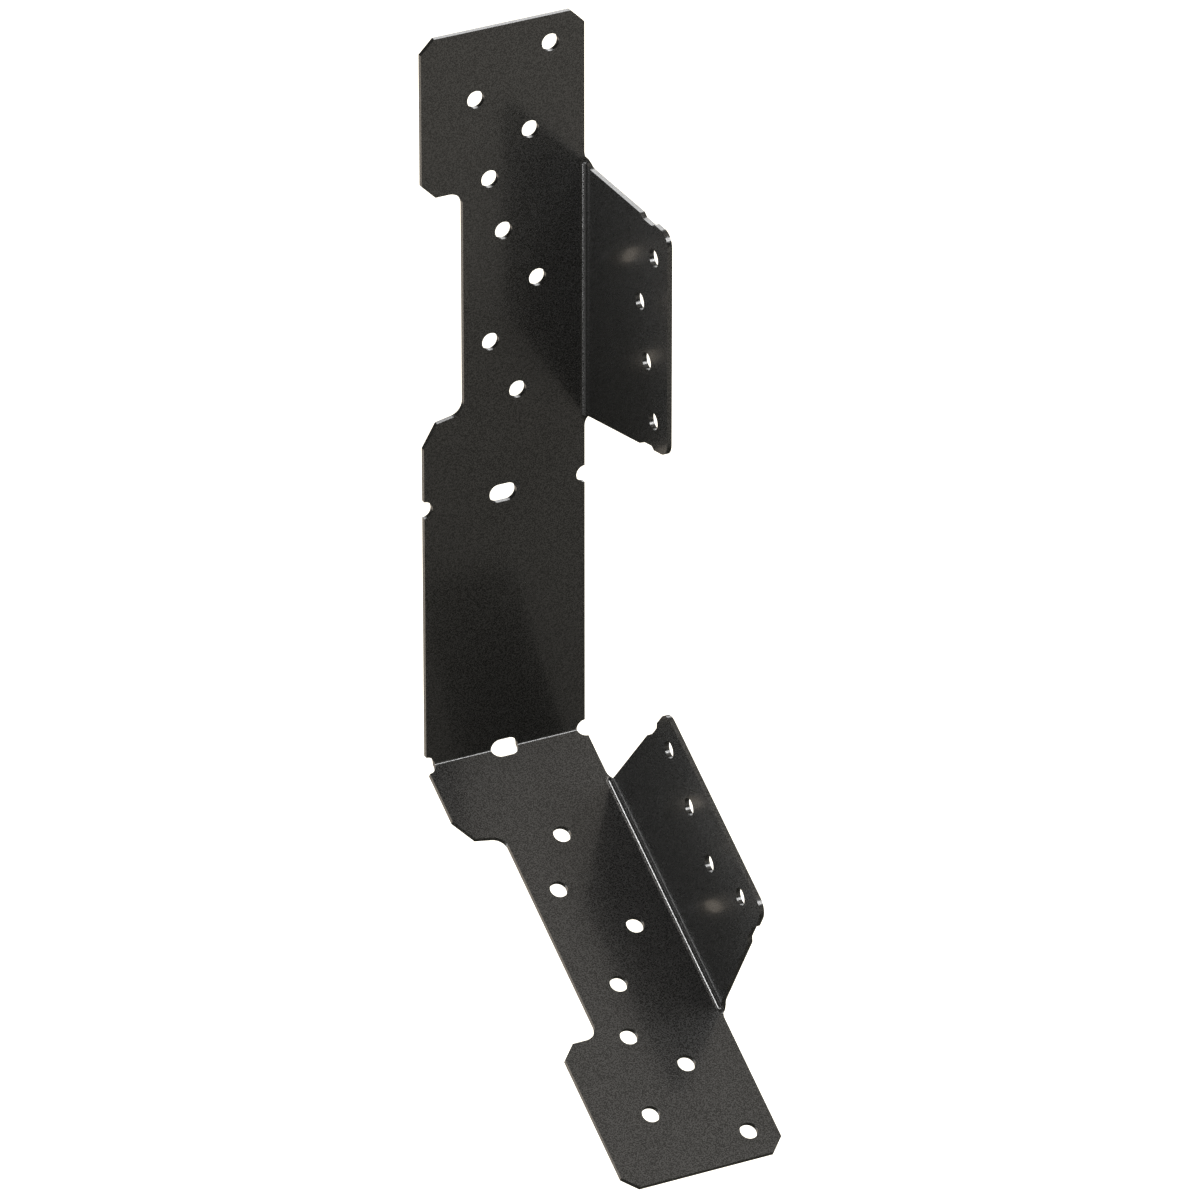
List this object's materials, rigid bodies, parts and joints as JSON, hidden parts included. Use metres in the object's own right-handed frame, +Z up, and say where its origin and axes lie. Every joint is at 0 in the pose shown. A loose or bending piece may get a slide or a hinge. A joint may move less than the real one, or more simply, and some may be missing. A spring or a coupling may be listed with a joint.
{
  "type": "adjustable stringer connector",
  "caption": "Folded sheet-steel connector that holds a stair stringer to a joist, with an upright strap, a leg folded forward, side flanges and nail holes.",
  "frame": {"origin": "centre of the middle panel's back face, which lies against the joist", "axes": "+X from the recessed edge to the flanged edge, +Z up the upright, -Y out of the upright's front face"},
  "size_m": [0.0393, 0.0956, 0.2276],
  "materials": {
    "black_powder_coat": "satin"
  },
  "bodies": {
    "root": {"stringer_connector": "black_powder_coat"}
  },
  "joints": []
}
